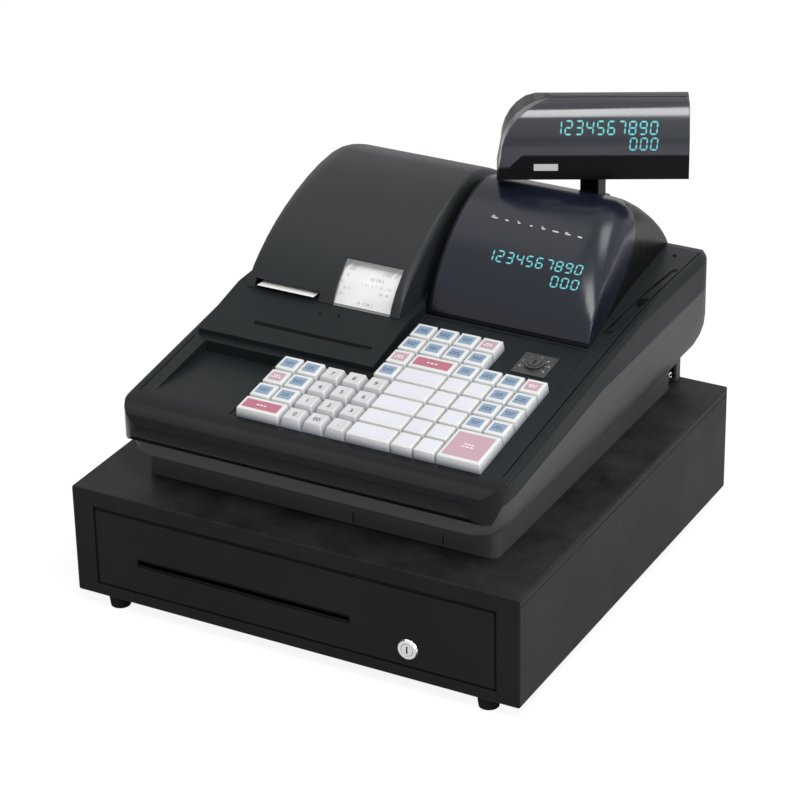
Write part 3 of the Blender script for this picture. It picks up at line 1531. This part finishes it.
def key_cells():
    """Grid cells of the single label keys as (column, row)."""
    rows = {1: (5, 6, 7, 8), 2: (5, 6, 7, 8), 3: (5, 8, 9, 10, 11), 4: (5, 8, 9, 10, 11),
            5: (1, 2, 8, 9, 10, 11), 6: (1, 2, 8, 9, 10, 11), 7: (1, 2, 8, 9), 8: (8, 9)}
    return [(column, row) for row, columns in rows.items() for column in columns]


def moving_keys():
    """The keys that travel: name, column, row, columns wide, rows deep, taper and look."""
    digits = (("7", 3, 5), ("8", 4, 5), ("9", 5, 5), ("4", 3, 6), ("5", 4, 6), ("6", 5, 6),
              ("1", 3, 7), ("2", 4, 7), ("3", 5, 7), ("0", 3, 8), ("00", 4, 8), ("point", 5, 8))
    keys = [("key_" + name, column, row, 1, 1, digit_taper, key_white) for name, column, row in digits]
    keys += [(f"key_wide_{row - 3}", 6, row, 2, 1, key_taper, key_white) for row in (4, 5, 6, 7, 8)]
    keys += [("key_red_rear", 6, 3, 2, 1, key_taper, key_red),
             ("key_red_front", 1, 8, 2, 1, key_taper, key_red),
             ("key_total", 10, 7, 2, 2, key_taper, key_white)]
    return keys


def pocket_outline():
    """The stepped opening round all keys, in the deck's own directions."""
    def column_edge(column):
        return key_first_x + (column - 1.5) * key_pitch_x

    def row_edge(row):
        return key_first_y - (row - 1.5) * key_pitch_y

    grow = key_gap / 4
    left, middle = column_edge(1) - grow, column_edge(5) - grow
    inner, right = column_edge(9) + grow, column_edge(12) + grow
    front, step_left = row_edge(9) - grow, row_edge(5) + grow
    step_right, rear = row_edge(3) + grow, row_edge(1) + grow
    return [(left, front), (right, front), (right, step_right), (inner, step_right), (inner, rear),
            (middle, rear), (middle, step_left), (left, step_left)]


def key_bed():
    ys = (deck_crease_y - overrun, deck_bend_y)
    slab = [(y, deck_z(y) - bed_drop) for y in ys] + [(y, deck_z(y) - bed_drop - bed_thickness)
                                                     for y in reversed(ys)]
    bed = add_object("key_bed", side_plate(slab, pen_tray_left, waist_half_width), tray_plastic)
    keep(bed, floor_plate(bed_plan(0.0), drawer_top + waist_height,
                          drawer_top + deck_rear_height + overrun))
    cut(bed, tilted(floor_plate(pocket_outline(), -key_pocket_depth, overrun)))
    root = -key_pocket_depth - (bed_thickness - key_pocket_depth) / 4
    caps = []
    for column, row in key_cells():
        cap = key_cap(1, 1, root, key_taper)
        x, y = key_centre(column, row)
        bmesh.ops.translate(cap, vec=(x, y, 0.0), verts=cap.verts)
        caps.append(cap)
    join(bed, tilted(merged(*caps)))
    holes = []
    for name, column, row, columns, rows, taper, look in moving_keys():
        x, y = key_centre(column, row, columns, rows)
        half = stem_width / 2 + stem_gap
        holes.append(box((x - half, y - half, -bed_thickness * 2),
                         (x + half, y + half, -key_pocket_depth / 2)))
    cut(bed, tilted(merged(*holes)))
    x, y = mode_lock_place()
    cut(bed, tilted(rod((x, y, -bed_thickness * 2), (x, y, overrun), mode_barrel_radius + running_gap)))
    smooth(bed)


def keys():
    frame = deck_frame()
    bottom = -key_pocket_depth + key_travel + stem_gap
    for name, column, row, columns, rows, taper, look in moving_keys():
        x, y = key_centre(column, row, columns, rows)
        key = add_object(name, key_cap(columns, rows, bottom, taper), look,
                         place=frame @ Vector((x, y, 0.0)), turn=(deck_angle, 0.0, 0.0))
        half = stem_width / 2
        join(key, box((-half, -half, bottom - stem_length), (half, half, bottom + overrun / 4)))
        smooth(key)


def mode_lock_place():
    return mode_lock_x - register_shift, mode_lock_y


def mode_lock():
    x, y = mode_lock_place()
    place = deck_frame() @ Vector((x, y, 0.0))
    turn = (deck_angle, 0.0, 0.0)
    half = mode_plate_size / 2
    plate_low = -bed_drop + running_gap
    barrel = add_object("mode_lock_barrel",
                        box((-half, -half, plate_low), (half, half, plate_low + mode_plate_rise),
                            mode_plate_rise / 4), tray_plastic, place=place, turn=turn)
    join(barrel, rod((0.0, 0.0, -mode_plug_length), (0.0, 0.0, mode_barrel_rise), mode_barrel_radius))
    cut(barrel, rod((0.0, 0.0, -mode_plug_length - overrun), (0.0, 0.0, mode_barrel_rise + overrun),
                    mode_plug_radius + running_gap))
    smooth(barrel)
    plug = add_object("mode_lock_plug",
                      rod((0.0, 0.0, -mode_plug_length - overrun / 2),
                          (0.0, 0.0, mode_barrel_rise + plug_rise), mode_plug_radius),
                      chrome, place=place, turn=turn)
    cut(plug, box((-key_slot_width / 2, -key_slot_length / 2, mode_barrel_rise + plug_rise - key_slot_depth),
                  (key_slot_width / 2, key_slot_length / 2, mode_barrel_rise + overrun)))
    smooth(plug)


def centre_all():
    """Hangs every piece on one empty, so that the whole outline is centred over the origin."""
    front = -drawer_depth / 2 - lock_rim_depth
    bpy.ops.object.empty_add(type='PLAIN_AXES', location=(0.0, 0.0, 0.0))
    origin = bpy.context.object
    origin.name = "ticket_register_origin"
    for made in list(parts.objects) + list(cutters.objects):
        made.parent = origin
    origin.location = (0.0, -(front + lower_rear) / 2, 0.0)


drawer_case()
drawer_feet()
drawer_front()
drawer_lock()
drawer_pan()
case_rails()
till_tray()
note_clips()
drawer_latch()
lower_case()
upper_case()
printer_cover()
printer_chassis()
printer_rolls()
paper_strips()
operator_display()
customer_display()
key_bed()
keys()
mode_lock()
centre_all()
